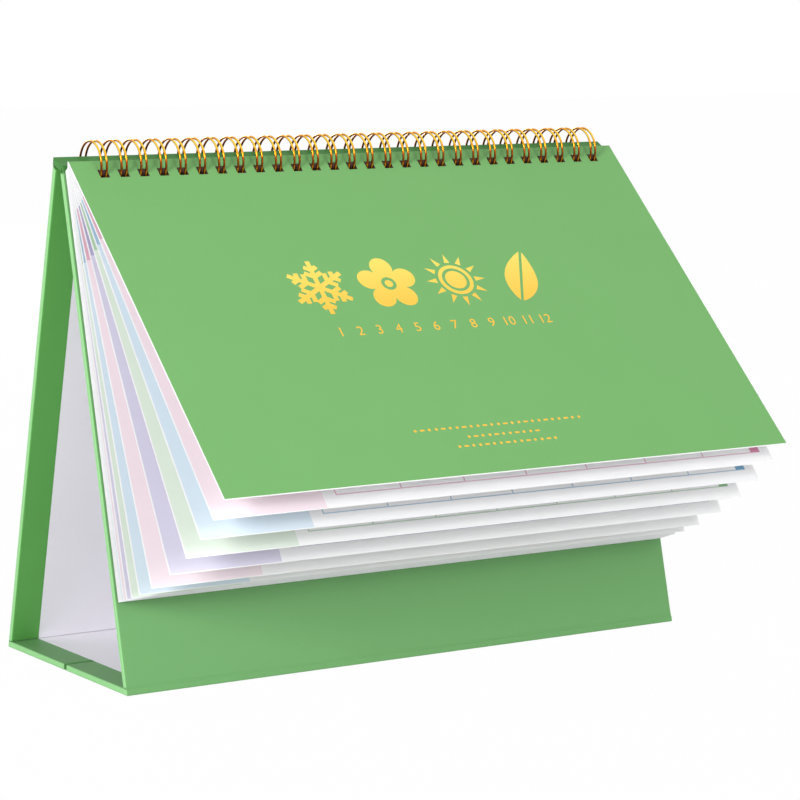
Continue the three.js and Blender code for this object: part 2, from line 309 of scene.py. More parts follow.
def add_grain(net, shader, paint, mottle=0.05):
    """Puts the paper grain between a colour and the shader, with a faint bump."""
    grain = net.group(
        paper_grain_group(), {"Colour": paint, "Scale": 1400.0, "Mottle": mottle})
    raised = net.add("ShaderNodeBump", {
        "Height": grain["Height"], "Strength": 0.12, "Distance": 0.05 * MM})
    net.put(grain["Colour"], shader.inputs["Base Color"])
    net.put(raised.outputs["Normal"], shader.inputs["Normal"])


# How far the shade in a punched hole reaches past its edge
SHADE_ROUND_HOLE = {
    "covering": 0.4 * MM, "greyboard": 0.05 * MM, "lining": 0.05 * MM, "page": 1.4 * MM}
# Colour and roughness of each paper finish
PAPERS = {
    "sheet": ("sheet", 0.6),
    # painted shade: a darker copy of the covering paper
    "ridge": ("ridge", 0.5),
    "lining": ("lining", 0.7),
    # painted shade in the walls of the punched holes
    "hole": ("shade", 0.8),
    "greyboard": ("board", 0.85),
    "covering": ("wrap", 0.5),
}


def paper(kind):
    """The finish of one kind of paper, with grain; covering paper has a painted highlight at its ends."""
    name = f"{kind}_finish"
    if name in bpy.data.materials:
        return bpy.data.materials[name]
    paint, roughness = PAPERS[kind]
    material, net, shader = new_material(name, paint, roughness)
    plain = colour_of(paint)
    # covering paper gets a painted highlight at its ends
    add_grain(net, shader, edge_worn(net, plain) if kind == "covering" else plain)
    return material


def hole_mask(net, across, down, margin):
    """1 within margin of a punched hole, else 0, as a socket.

    Across is the distance along the row from the middle loop, Down the distance from the row.
    The distance to the nearest loop is a triangle wave of Across with the pitch as its period."""
    def fill(net, given):
        reach = sizes().hole / 2 + margin
        first, last = loop_middles()[[0, -1]]
        from_first = net.math("SUBTRACT", given["Across"], float(first))
        nearest = net.math("PINGPONG", from_first, sizes().pitch / 2)
        in_cell = net.math("LESS_THAN", nearest, reach)
        in_row = net.math("LESS_THAN", net.math("ABSOLUTE", given["Down"]), reach)
        on_row = net.math(
            "LESS_THAN", net.math("ABSOLUTE", given["Across"]), float(last) + reach)
        return [net.both(net.both(in_cell, in_row), on_row)]

    tree = shared_group(
        f"Hole shade {margin / MM:.2f}", {"Across": "Float", "Down": "Float"},
        {"Mask": "Float"}, fill)
    return net.group(tree, {"Across": across, "Down": down})["Mask"]


def upright_lines():
    """For each upright board its foot, its top, and the ways up and inwards, as (y, z)."""
    feet = {
        "front": np.array([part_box("base_front_wrap")[0].y, 0.0]),
        "back": np.array(joint_point("easel_fold"))[1:]}
    creases = {"front": "front_ridge_crease", "back": "rear_ridge_crease"}
    lines = {}
    for name, side in (("front", 1), ("back", -1)):
        foot, top = feet[name], np.array(joint_point(creases[name]))[1:]
        up = (top - foot) / np.linalg.norm(top - foot)
        lines[name] = foot, top, up, side * np.array([up[1], -up[0]])
    return lines


def along_way(net, way, origin):
    """The distance of a point along a (y, z) direction, less origin, as a socket."""
    place = net.place()
    turned_y = net.math("MULTIPLY", place["Y"], float(way[0]))
    distance = net.math("MULTIPLY_ADD", place["Z"], float(way[1]), turned_y)
    return net.math("SUBTRACT", distance, float(origin))


def edge_worn(net, paint):
    """A painted highlight, lighter on the last third of a millimetre before both ends of the easel.

    With x the distance along the ridge, the share of the highlight rises where |x| nears the end."""
    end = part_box("front_wrap")[1].x
    from_middle = net.math("ABSOLUTE", net.place()["X"])
    share = net.rise(from_middle, end - 0.35 * MM, end - 0.05 * MM)
    return net.mix(share, paint, colour_of("wrap_edge"))


def upright_paint(net, panel):
    """Covering paper of an upright board: painted shade where it is turned in, a painted highlight at the ends.

    It is turned in where the distance from the board's outer face is over half its thickness."""
    foot, _, _, inward = upright_lines()[panel]
    depth = along_way(net, inward, foot @ inward)
    # painted shade where the covering paper is turned in
    inner = net.math("GREATER_THAN", depth, joint_point("base_crease").z / 2)
    # painted highlight at both ends of the easel
    return edge_worn(net, net.mix(inner, colour_of("wrap"), colour_of("wrap_inner")))


def node_material(node, kind):
    """The finish of one node of an upright board, painted shade in and round the front board's holes.

    Down is the dot product of a point and the board's way down, less that of the row."""
    panel = node.split("_")[0]
    paint, roughness = PAPERS[kind]
    material, net, shader = new_material(f"{node}_finish", paint, roughness)
    shown = upright_paint(net, panel) if kind == "covering" else colour_of(paint)
    if panel == "front":
        way = -upright_lines()[panel][2]
        down = along_way(net, way, float(np.array(RING)[1:] @ way) + ring_radius())
        mask = hole_mask(net, net.place()["X"], down, SHADE_ROUND_HOLE[kind])
        shown = net.mix(mask, shown, colour_of("shade"))
    add_grain(net, shader, shown)
    return material


# Meshes


def linked(name, data):
    """A new object in the scene."""
    holder = bpy.data.objects.new(name, data)
    bpy.context.collection.objects.link(holder)
    return holder


def aimed(name, data, place, target):
    """A new lamp or camera at place that looks at target."""
    holder = linked(name, data)
    holder.location = place
    holder.rotation_euler = (target - place).to_track_quat("-Z", "Y").to_euler()
    return holder


def points_of(mesh):
    points = np.zeros(len(mesh.vertices) * 3)
    mesh.vertices.foreach_get("co", points)
    return points.reshape(-1, 3)


def new_piece(name, vertices, faces, materials, face_material=None, smooth=False, uvs=None):
    """A mesh object from whole arrays; uvs holds one (u, v) for each vertex."""
    mesh = bpy.data.meshes.new(name)
    mesh.from_pydata(np.asarray(vertices).tolist(), [], [list(face) for face in faces])
    for material in materials:
        mesh.materials.append(material)
    if face_material is not None:
        mesh.polygons.foreach_set("material_index", np.asarray(face_material, np.int32))
    if uvs is not None:
        corner = np.zeros(len(mesh.loops), np.int32)
        mesh.loops.foreach_get("vertex_index", corner)
        layer = mesh.uv_layers.new(name="page")
        layer.data.foreach_set("uv", np.asarray(uvs)[corner].ravel())
    mesh.polygons.foreach_set("use_smooth", np.full(len(mesh.polygons), smooth))
    mesh.validate()
    mesh.update()
    return linked(name, mesh)


def bands(count, pairs):
    """Quads that join rings of count points each; a pair holds the numbers of two rings."""
    ring = np.arange(count)
    following = (ring + 1) % count
    return [quad for first, second in pairs for quad in np.stack([
        ring + first * count, following + first * count,
        following + second * count, ring + second * count], axis=1).tolist()]


def tube(points, radius, sides):
    """A closed round tube: rings of sides points at radius round each point of a path, each
    ring spanned by the path's normal and binormal carried along without twist."""
    tangent = np.gradient(points, axis=0)
    tangent /= np.linalg.norm(tangent, axis=1, keepdims=True)
    normal = np.zeros_like(points)
    current = np.cross([1.0, 0.0, 0.0], tangent[0])
    for i, direction in enumerate(tangent):
        current = current - direction * np.dot(current, direction)
        current /= np.linalg.norm(current)
        normal[i] = current
    binormal = np.cross(tangent, normal)
    turn = np.arange(sides) * 2 * np.pi / sides
    ring = (np.cos(turn)[None, :, None] * normal[:, None, :]
            + np.sin(turn)[None, :, None] * binormal[:, None, :])
    vertices = (points[:, None, :] + radius * ring).reshape(-1, 3)
    last = len(points) - 1
    first_cap = list(range(sides))[::-1]
    last_cap = list(range(last * sides, (last + 1) * sides))
    return vertices, [*bands(sides, ((i, i + 1) for i in range(last))), first_cap, last_cap]


class Leaf:
    """The plane of a CAD leaf: where its front's top edge is, and the ways down and out.

    A point of the leaf is top + x·(1, 0, 0) + down·t + out·h, with t from the top edge and h
    from the front face. Both ways come from the spread of the node's own points in (y, z)."""

    def __init__(self, node):
        points = points_of(frame["nodes"][node].data)
        section = points[:, 1:]
        middle = section.mean(axis=0)
        ways = np.linalg.svd(section - middle, full_matrices=False)[2]
        down = ways[0] * (-1 if ways[0][1] > 0 else 1)
        out = np.array([down[1], -down[0]])
        if np.dot(out, middle - np.array(RING[1:])) < 0:
            out = -out
        along, across = section @ down, section @ out
        self.node = node
        self.down = np.array([0.0, *down])
        self.out = np.array([0.0, *out])
        self.height = along.max() - along.min()
        self.thickness = across.max() - across.min()
        self.half = np.abs(points[:, 0]).max()
        self.top = np.array([0.0, *(down * along.min() + out * across.max())])
        from_ring = self.top - np.array(RING)
        level = np.dot(from_ring, self.out) - self.thickness / 2
        self.hole_row = math.sqrt(ring_radius() ** 2 - level ** 2) - np.dot(from_ring, self.down)

    def place(self, x, t, h=0.0):
        """The points of the leaf at across x, down t and proud h, as rows."""
        along = np.stack(np.broadcast_arrays(x, t, h), axis=-1)
        return self.top + along @ np.array([[1.0, 0.0, 0.0], self.down, self.out])


def ring_radius():
    """From the middle of the ring to the middle of the wire."""
    return WIRE_TOP - RING.z - sizes().wire / 2


def loop_middles():
    count = sizes().loops
    return (np.arange(count) - (count - 1) / 2) * sizes().pitch


def build_leaf(name, leaf, front):
    """A sheet with a row of square holes and rounded lower corners.

    A grid of lines crosses the sheet: x at the sides, corners and hole edges, t at the top,
    hole edges, corner and bottom. Cells that are holes are left out. The bottom line follows
    the corner's circle: t = height - r + sqrt(r² - (r - distance to the side)²)."""
    radius = sizes().corner
    half_hole = sizes().hole / 2
    corner_steps = radius * (1 - np.cos(np.linspace(0, np.pi / 2, 5)))
    middles = loop_middles()
    edges = np.sort(np.concatenate([middles - half_hole, middles + half_hole]))
    xs = np.concatenate([-leaf.half + corner_steps, edges, leaf.half - corner_steps[::-1]])
    row = leaf.hole_row
    bends = np.linspace(row + half_hole, leaf.height - radius, 8)
    ts = np.concatenate([[0.0, row - half_hole], bends, [leaf.height]])
    grid_x, grid_t = np.meshgrid(xs, ts, indexing="ij")
    inset = np.minimum(leaf.half - np.abs(xs), radius)
    grid_t[:, -1] = leaf.height - radius + np.sqrt(radius ** 2 - (radius - inset) ** 2)
    columns, rows = grid_x.shape

    solid = np.ones((columns - 1, rows - 1), bool)
    centre = (xs[:-1] + xs[1:]) / 2
    in_hole = np.abs(centre[:, None] - middles[None, :]).min(axis=1) < half_hole
    solid[in_hole, 1] = False

    front_points = leaf.place(grid_x, grid_t).reshape(-1, 3)
    back_points = leaf.place(grid_x, grid_t, -leaf.thickness).reshape(-1, 3)
    count = len(front_points)
    u = (grid_x / (2 * leaf.half) + 0.5).ravel()
    v = (1 - grid_t / leaf.height).ravel()
    uvs = np.tile(np.stack([u, v], axis=1), (2, 1))

    def index(i, j):
        return i * rows + j

    i, j = np.nonzero(solid)
    corners = np.stack([index(i, j), index(i, j + 1), index(i + 1, j + 1), index(i + 1, j)], 1)
    on_front, on_back, in_a_hole = 0, 1, 2
    faces = [corners, corners[:, ::-1] + count]
    marks = [np.full(len(corners), on_front), np.full(len(corners), on_back)]
    padded = np.pad(solid, 1)
    for di, dj, start, end in (
            (-1, 0, (0, 0), (0, 1)), (1, 0, (1, 1), (1, 0)),
            (0, -1, (1, 0), (0, 0)), (0, 1, (0, 1), (1, 1))):
        # a wall stands where a solid cell's neighbour is open
        a, b = np.nonzero(solid & ~padded[1 + di:columns + di, 1 + dj:rows + dj])
        first = index(a + start[0], b + start[1])
        second = index(a + end[0], b + end[1])
        faces.append(np.stack([second, first, first + count, second + count], axis=1))
        beside_x, beside_t = a + di, b + dj
        in_sheet = (beside_x >= 0) & (beside_x < columns - 1)
        in_sheet &= (beside_t >= 0) & (beside_t < rows - 1)
        marks.append(np.where(in_sheet, in_a_hole, on_back))
    faces, marks = np.concatenate(faces), np.concatenate(marks)
    vertices = np.concatenate([front_points, back_points])
    used = np.unique(faces)
    renumber = np.zeros(len(vertices), int)
    renumber[used] = np.arange(len(used))
    # the walls of the holes get the hole finish, painted shade
    piece = new_piece(
        name, vertices[used], renumber[faces], [front, paper("sheet"), paper("hole")], marks,
        uvs=uvs[used])
    face_out(piece)
    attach(piece, body_with(leaf.node))
    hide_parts(leaf.node)
    return piece


def flat_shape(outline, leaf, x, t, extra=0.0):
    """A closed outline of (right, up) points as a thin plate on a leaf, round (x, t).

    It stands proud by (1 + extra) times the foil, so that crossing plates don't share a face."""
    count = len(outline)
    proud = sizes().foil * (1 + extra)
    plate = [
        leaf.place(x + outline[:, 0], t - outline[:, 1], height) for height in (proud, -proud)]
    faces = [list(range(count)), list(range(count, 2 * count))[::-1], *bands(count, [(1, 0)])]
    return np.concatenate(plate), faces


def ring_shape(outer, inner, leaf, x, t):
    """A plate between two closed outlines with as many points each."""
    foil = sizes().foil
    layers = [
        leaf.place(x + outline[:, 0], t - outline[:, 1], height)
        for height in (foil, -foil) for outline in (outer, inner)]
    return np.concatenate(layers), bands(len(outer), [(1, 0), (2, 3), (0, 2), (3, 1)])


def face_out(piece):
    """Turns every face of a closed piece outwards."""
    work = bmesh.new()
    work.from_mesh(piece.data)
    bmesh.ops.recalc_face_normals(work, faces=work.faces)
    work.to_mesh(piece.data)
    work.free()


# Outlines of the foil shapes and figures


def turned(points, angle):
    """Points turned about the middle."""
    cos, sin = math.cos(angle), math.sin(angle)
    return points @ np.array([[cos, sin], [-sin, cos]])


def circle(radius, count=36):
    """r·(cos a, sin a)."""
    a = np.linspace(0, 2 * np.pi, count, endpoint=False)
    return radius * np.stack([np.cos(a), np.sin(a)], axis=1)


def bar(length, width, start=0.0):
    """A strip along +x from start to length."""
    return np.array([
        [start, -width / 2], [length, -width / 2], [length, width / 2], [start, width / 2]])


def snowflake(size):
    """Six arms at 60°, each with two pairs of short branches at 60° to the arm.

    A pair is given by its place on the arm and its reach, as shares of the size."""
    shapes = []
    width = 0.075 * size
    for arm in range(6):
        angle = arm * math.pi / 3 + math.pi / 6
        shapes.append(turned(bar(size / 2, width), angle))
        for at, reach in ((0.2, 0.16), (0.33, 0.12)):
            for side in (-1, 1):
                branch = turned(bar(reach * size, width), side * math.pi / 3)
                branch = branch + [at * size, 0]
                shapes.append(turned(branch, angle))
    return shapes


def petal_outline(size, count=120):
    """Five petals: r = size/2 · (0.55 + 0.45·|cos 2.5(a - 90°)|^0.7)."""
    a = np.linspace(0, 2 * np.pi, count, endpoint=False)
    r = size / 2 * (0.55 + 0.45 * np.abs(np.cos(2.5 * (a - np.pi / 2))) ** 0.7)
    return np.stack([r * np.cos(a), r * np.sin(a)], axis=1)


def sun_rays(size, count=12):
    """Tapered rays round a disc."""
    ray = size * np.array([[0.33, -0.045], [0.5, 0.0], [0.33, 0.045]])
    return [turned(ray, 2 * math.pi * k / count) for k in range(count)]


def leaf_half(size, side, count=24):
    """Half of a pointed leaf beside the gap at its midrib, with s from stalk to tip.

    x = side · (gap + size · 0.26 · sin(pi s)^0.8 · (1.15 - 0.45 s)), y = 1.02 size · (s - 1/2)"""
    s = np.linspace(0, 1, count)
    y = (s - 0.5) * size * 1.02
    gap = 0.022 * size
    x = gap + 0.26 * size * np.sin(np.pi * s) ** 0.8 * (1.15 - 0.45 * s)
    inner = np.stack([np.full(count, gap), y], axis=1)[::-1]
    outline = np.concatenate([np.stack([x, y], axis=1), inner[1:-1]])
    return outline * [side, 1]


def text_outline_mesh(body, height, proud):
    """A text as (points, faces) in metres, lying in x and y, centred on its own box."""
    share_of_size = 0.7  # the height of a figure in this font
    curve = bpy.data.curves.new("figure", "FONT")
    curve.body = body
    curve.size = height / share_of_size
    curve.extrude = proud
    curve.resolution_u = 3
    holder = linked("figure", curve)
    bpy.context.view_layer.update()
    mesh = bpy.data.meshes.new_from_object(holder)
    points = points_of(mesh)
    faces = [list(polygon.vertices) for polygon in mesh.polygons]
    bpy.data.objects.remove(holder)
    bpy.data.curves.remove(curve)
    bpy.data.meshes.remove(mesh)
    middle = (points.min(axis=0) + points.max(axis=0)) / 2
    return points - middle, faces


def figure_on(leaf, shape, x, t):
    """A text's (points, faces) laid on a leaf with its middle at (x, t)."""
    points, faces = shape
    return leaf.place(x + points[:, 0], t - points[:, 1], points[:, 2]), faces


def put_on_leaf(name, shapes, leaf, material):
    """One piece of several (vertices, faces) that rides with a leaf."""
    vertices, faces, offset = [], [], 0
    for points, polygons in shapes:
        vertices.append(points)
        faces.extend([[index + offset for index in polygon] for polygon in polygons])
        offset += len(points)
    piece = new_piece(name, np.concatenate(vertices), faces, [material])
    face_out(piece)
    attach(piece, body_with(leaf.node))


# Pieces of the calendar


class CALENDAR_OT_boards(bpy.types.Operator):
    """Gives the covering paper, greyboards and linings of the easel their finishes"""

    bl_idname = "calendar.boards"
    bl_label = "Boards"

    def execute(self, context):
        kinds = (("wrap", "covering"), ("board", "greyboard"), ("lining", "lining"))
        finishes = {
            f"{panel}_{part}": paper(kind) for panel in PANELS for part, kind in kinds}
        # the ridge strip gets the darker ridge paper, painted shade
        finishes["ridge_wrap"] = paper("ridge")
        finishes["back_wrap"] = node_material("back_wrap", "covering")
        for part, kind in kinds:
            finishes[f"front_{part}"] = node_material(f"front_{part}", kind)
        for name, finish in finishes.items():
            frame["nodes"][name].material_slots[0].material = finish
        return {"FINISHED"}


def crease_profile(before, crease, after, bulge, count=13):
    """A line over a fold: straight along both faces, lifted by bulge·(1 - s²)² at the crease."""
    s = np.linspace(-1, 1, count)
    first = before + (crease - before) * (s + 1)[:, None]
    second = crease + (after - crease) * s[:, None]
    line = np.where((s < 0)[:, None], first, second)
    outward = crease - (before + after) / 2
    length = np.linalg.norm(outward)
    outward = outward / length if length > 1e-6 else np.array([0.0, 1.0])
    return line + outward * (bulge * (1 - s ** 2) ** 2)[:, None]


class CALENDAR_OT_creases(bpy.types.Operator):
    """Builds the covering paper that runs over the folds of the easel"""

    bl_idname = "calendar.creases"
    bl_label = "Creases"

    def execute(self, context):
        front_foot, front, _, _ = upright_lines()["front"]
        rear_foot, rear, _, _ = upright_lines()["back"]
        self.strip("front_crease_paper", "front_panel", "ridge_strip", front_foot, front, rear)
        self.strip("rear_crease_paper", "ridge_strip", "rear_panel", front, rear, rear_foot)
        self.base_strips()
        self.foot_strips()
        return {"FINISHED"}

    def strip(self, name, first_body, second_body, start, crease, end):
        """A strip of paper over one crease.

        It reaches to both sides of the crease."""
        reach, outer_bulge, inner_bulge, drop, bend = np.array([2.6, 0.3, 0.1, 0.06, 0.5]) * MM
        before = crease + (start - crease) / np.linalg.norm(start - crease) * reach
        after = crease + (end - crease) / np.linalg.norm(end - crease) * reach
        outer = crease_profile(before, crease, after, outer_bulge)
        inner = crease_profile(before, crease, after, inner_bulge)
        toward = (before + after) / 2 - crease
        inner = inner + toward / np.linalg.norm(toward) * drop
        # the crease strip is in the darker ridge paper, painted shade
        piece = drawn_strip(name, outer, inner, paper("ridge"))
        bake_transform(piece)

    def base_strips(self):
        """The paper in the channel between the two halves of the base, and the lining over it.

        Each is level: half its width to both sides of the crease, from its low to its high z."""
        crease = joint_point("base_crease")
        for name, half, bend, start_z, low, high, steps, kind, slot in (
                ("base_crease_paper", 1.12, 1.12, 0.28 * MM, 0.28 * MM, 0.53 * MM, 9,
                 "covering", "wrap_paper"),
                ("base_crease_lining", 1.95, 1.1, crease.z, crease.z + 0.02 * MM,
                 crease.z - 0.02 * MM, 15, "lining", "lining_paper")):
            y = crease.y + np.linspace(-half, half, steps) * MM
            outer = np.stack([y, np.full(steps, low)], axis=1)
            inner = np.stack([y, np.full(steps, high)], axis=1)
            piece = drawn_strip(name, outer, inner, paper(kind), EXTENT[kind])
            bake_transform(piece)

    def foot_strips(self):
        """Paper and lining that run on to the feet of the back board and of the front board.

        A point is foot + up·a + inward·v, with a from the foot and v from the outer face, both
        in millimetres."""
        depth = joint_point("base_crease").z / MM
        for name, panel, a, v, body, kind, slot in (
                ("back_foot_paper", "back", (3.5, 3.8), (depth - 0.05, depth + 0.005),
                 "rear_panel", "covering", "wrap_paper"),
                ("back_foot_lining", "back", (3.5, 4.3), (depth - 0.03, depth + 0.02),
                 "rear_panel", "lining", "lining_paper"),
                ("front_foot_paper", "front", (2.3, 3.9), (-0.02, 0.03),
                 "front_panel", "covering", "wrap_paper")):
            foot, _, up, inward = upright_lines()[panel]
            outer, inner = (
                foot + np.outer(a, up) * MM + inward * height * MM for height in v)
            piece = drawn_strip(name, outer, inner, paper(kind), EXTENT[kind])
            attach(piece, body)


def drawn_strip(name, outer, inner, material, extent="front_wrap"):
    """A closed band: the loop of two (y, z) lines, drawn from end to end of a CAD node."""
    low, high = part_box(extent)
    hair = 1e-3  # the share by which it stays short of both ends
    ends = np.array([low.x, high.x]) * (1 - hair)
    loop = np.concatenate([outer, inner[::-1]])
    count = len(loop)
    vertices = np.concatenate([
        np.column_stack([np.full(count, x), loop]) for x in ends])
    k = np.arange(len(outer) - 1)
    cap = np.stack([k, k + 1, count - 2 - k, count - 1 - k], axis=1)
    faces = [*bands(count, [(0, 1)]), *cap[:, ::-1].tolist(), *(cap + count).tolist()]
    piece = new_piece(name, vertices, faces, [material])
    face_out(piece)
    return piece


class CALENDAR_OT_wire(bpy.types.Operator):
    """Builds the gold twin-loop wire as one smooth tube"""

    bl_idname = "calendar.wire"
    bl_label = "Binding wire"

    def execute(self, context):
        vertices, faces = tube(self.path(), sizes().wire / 2, sides=10)
        piece = new_piece("wire", vertices, faces, [self.material()], smooth=True)
        face_out(piece)
        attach(piece, body_with("binding_wire"))
        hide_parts("binding_wire")
        return {"FINISHED"}

    def path(self):
        """One line through all fingers: along the root, up the left leg on the ring's circle,
        round the tip on a half circle, down the right leg, and on along the root.

        A point is (x, ring + r·cos a, ring + r·sin a)."""
        radius = ring_radius()
        bend = sizes().twin / 2
        bend_arc = bend / radius
        root = sizes().seam_angle - sizes().seam_gap / 2
        tip = sizes().seam_angle + sizes().seam_gap / 2 - 2 * math.pi
        leg = np.linspace(root - bend_arc, tip + bend_arc, 40)
        half_turn = np.linspace(0, np.pi, 9)[1:-1]
        quarter = np.linspace(0, np.pi / 2, 5)
        steps = np.ones(len(leg) - 1)
        parts = []
        for middle in loop_middles():
            parts += [
                (middle - 2 * bend + bend * np.sin(quarter),
                 root - bend_arc * (1 - np.cos(quarter))),
                (steps * (middle - bend), leg[1:]),
                (middle - bend * np.cos(half_turn), leg[-1] - bend_arc * np.sin(half_turn)),
                (steps * (middle + bend), leg[::-1][:-1]),
                (middle + 2 * bend - bend * np.cos(quarter),
                 root - bend_arc * (1 - np.sin(quarter)))]
        x, a = np.concatenate([np.stack(part) for part in parts[1:-1]], axis=1)
        return np.stack([x, RING.y + radius * np.cos(a), RING.z + radius * np.sin(a)], axis=1)

    def material(self):
        """Gold coating with painted light: shade inside the ring, a dark band and a highlight across its front.

        The inside is where the distance from the ring's axis is less than the ring's radius. A
        stripe is given by heights over that axis in radii: where it starts, where it is full,
        where it is full no more and where it ends."""
        material, net, shader = new_material("wire_finish", "wire", 0.2, metallic=1.0)
        place = net.place()
        radius = ring_radius()
        y = net.math("SUBTRACT", place["Y"], RING.y)
        z = net.math("SUBTRACT", place["Z"], RING.z)
        squares = net.math("MULTIPLY_ADD", y, y, net.math("MULTIPLY", z, z))
        from_axis = net.math("SQRT", squares)
        height = net.math("DIVIDE", z, radius)
        front = net.rise(y, 0.1 * radius, -0.1 * radius)
        fade = 0.15 * sizes().wire
        inside = net.rise(from_axis, radius + fade, radius - fade)
        darkest = 0.92

        def stripe(low, low_full, high_full, high):
            return net.both(
                net.rise(height, low, low_full), net.rise(height, high, high_full))

        # painted dark reflection in a band across the front, a painted highlight above it, painted shade inside
        # the ring
        band = net.both(stripe(-0.45, -0.2, 0.15, 0.42), front)
        lit = net.both(stripe(0.4, 0.65, 0.9, 1.0), front)
        dark = net.math("MULTIPLY", net.either(inside, band), darkest)
        paint = net.mix(lit, colour_of("wire"), colour_of("wire_light"))
        paint = net.mix(dark, paint, colour_of("wire_dark"))
        net.put(paint, shader.inputs["Base Color"])
        return material


class CALENDAR_OT_cover(bpy.types.Operator):
    """Builds the green cover leaf and its gold foil shapes"""

    bl_idname = "calendar.cover"
    bl_label = "Cover"

    def execute(self, context):
        leaf = Leaf("leaf_cover")
        piece = build_leaf("cover_leaf", leaf, self.face_material(leaf))
        foil = self.foil_material(leaf)
        self.seasons(leaf, foil)
        self.number_row(leaf, foil)
        self.dots(leaf, foil)
        return {"FINISHED"}

    def face_material(self, leaf):
        """Green print with an unprinted rim at both sides and the lower edge."""
        material, net, shader = new_material("cover_finish", "cover", 0.5)
        page = net.page()
        side = sizes().rim / (2 * leaf.half)
        lower = sizes().rim / leaf.height
        printed = net.both(
            net.between(page["X"], side, 1 - side), net.math("GREATER_THAN", page["Y"], lower))
        add_grain(net, shader, net.mix(printed, colour_of("sheet"), colour_of("cover")))
        return material

    def foil_material(self, leaf):
        """Foil with a painted sheen, which blends from a pale to a deeper gold down the leaf."""
        material, net, shader = new_material("foil_finish", "foil_low", 0.34, metallic=0.25)
        upper, lower = (leaf.place(0.0, t * MM)[2] for t in (55, 84))
        share = net.rise(net.place()["Z"], upper, lower, "LINEAR")
        paint = net.mix(share, colour_of("foil_top"), colour_of("foil_low"))
        net.put(paint, shader.inputs["Base Color"])
        return material

    def seasons(self, leaf, foil):
        """Four shapes in a row: a snowflake, a blossom, a sun and a leaf.

        Rings and discs in them are given as shares of the size."""
        size, step, t, tilt = 27 * MM, 31 * MM, 69.5 * MM, math.radians(-24)
        first, second, third, fourth = ((k - 1.5) * step for k in range(4))
        flake = [
            flat_shape(outline, leaf, first, t, 0.1 * k)
            for k, outline in enumerate(snowflake(size))]
        petals = petal_outline(size * 0.98)
        blossom = [
            ring_shape(petals, circle(size * 0.12, len(petals)), leaf, second, t),
            flat_shape(circle(size * 0.065), leaf, second, t)]
        sun = [
            *(flat_shape(ray, leaf, third, t) for ray in sun_rays(size)),
            ring_shape(circle(size * 0.28), circle(size * 0.22), leaf, third, t),
            flat_shape(circle(size * 0.17), leaf, third, t)]
        halves = [
            flat_shape(turned(leaf_half(size, side), tilt), leaf, fourth, t)
            for side in (-1, 1)]
        for name, shapes in (
                ("snowflake", flake), ("blossom", blossom), ("sun", sun), ("leaf", halves)):
            put_on_leaf(f"foil_{name}", shapes, leaf, foil)

    def number_row(self, leaf, foil):
        """The numbers of the months in a spaced row."""
        reach, height, t = 47 * MM, 4.4 * MM, 92 * MM
        shapes = [
            figure_on(leaf, text_outline_mesh(str(k + 1), height, sizes().foil), x, t)
            for k, x in enumerate(np.linspace(-reach, reach, len(MONTHS)))]
        put_on_leaf("foil_numbers", shapes, leaf, foil)

    def dots(self, leaf, foil):
        """Three centred rows of dots, with a short dash for every third."""
        gap = 3.1 * MM
        dash, dot = bar(1.0 * MM, 0.75 * MM, -1.0 * MM), circle(0.62 * MM, 14)
        shapes = [
            flat_shape(
                dash if k % 3 == 1 else dot, leaf, (k - (count - 1) / 2) * gap, t * MM)
            for t, count in ((141.7, 25), (146.4, 11), (150.6, 15)) for k in range(count)]
        put_on_leaf("foil_dots", shapes, leaf, foil)


# The print of a page, as shares of the leaf's width and, for heights, of its height
PAGE = {
    "rim": 0.002,
    "column": 0.1855,
    "grid_left": 0.208,
    "grid_right": 0.981,
    "grid_top": 0.21,
    "grid_bottom": 0.967,
    "header_top": 0.10,
    "header_bottom": 0.225,
    "heading": 0.05,
    "line": 0.0011,
    "mark_wide": 0.017,
    "mark_high": 0.032,
}
GRID_ROWS = 6
# How much ink the heading, the darker block and the lines carry
HEADING_INK, HEADER_INK, LINE_INK = 0.8, 0.6, 0.65


def page_print_group():
    """The print of a month page on its own UV: a column, a darker block, a grid and a mark.

    Across is u from the left, down is 1 - v. A line of the grid is where the distance to the
    nearest multiple of the cell's size is under half the line's width."""
    def fill(net, given):
        page = net.page()
        across, down = page["X"], net.math("SUBTRACT", 1.0, page["Y"])

        def block(left, right, top, bottom):
            return net.both(net.between(across, left, right), net.between(down, top, bottom))

        rim, line = PAGE["rim"], PAGE["line"]
        left, right = PAGE["grid_left"], PAGE["grid_right"]
        top, bottom = PAGE["grid_top"], PAGE["grid_bottom"]
        column = block(rim, PAGE["column"], PAGE["header_top"], 1 - rim)
        header = block(rim, PAGE["column"], PAGE["header_top"], PAGE["header_bottom"])
        heading = block(left, right, top - PAGE["heading"], top)
        mark = block(right - PAGE["mark_wide"], right, bottom - PAGE["mark_high"], bottom)
        in_grid = block(left - line, right + line, top - line, bottom + line)

        def near_line(value, start, cell, half):
            from_start = net.math("SUBTRACT", value, start)
            return net.math("LESS_THAN", net.math("PINGPONG", from_start, cell / 2), half)

        upright = near_line(across, left, (right - left) / WEEK, line)
        line_down = net.math("MULTIPLY", given["Aspect"], line)
        level = near_line(down, top, (bottom - top) / GRID_ROWS, line_down)
        lines = net.both(in_grid, net.either(upright, level))
        paint = net.mix(column, given["Sheet"], given["Pale"])
        for mask, ink, tint in (
                (heading, HEADING_INK, "Pale"), (header, HEADER_INK, "Deep"),
                (lines, LINE_INK, "Deep"), (mark, 1.0, "Deep")):
            paint = net.mix(net.math("MULTIPLY", mask, ink), paint, given[tint])
        return [paint]

    return shared_group(
        "Page print", {"Sheet": "Color", "Pale": "Color", "Deep": "Color", "Aspect": "Float"},
        {"Colour": "Color"}, fill)


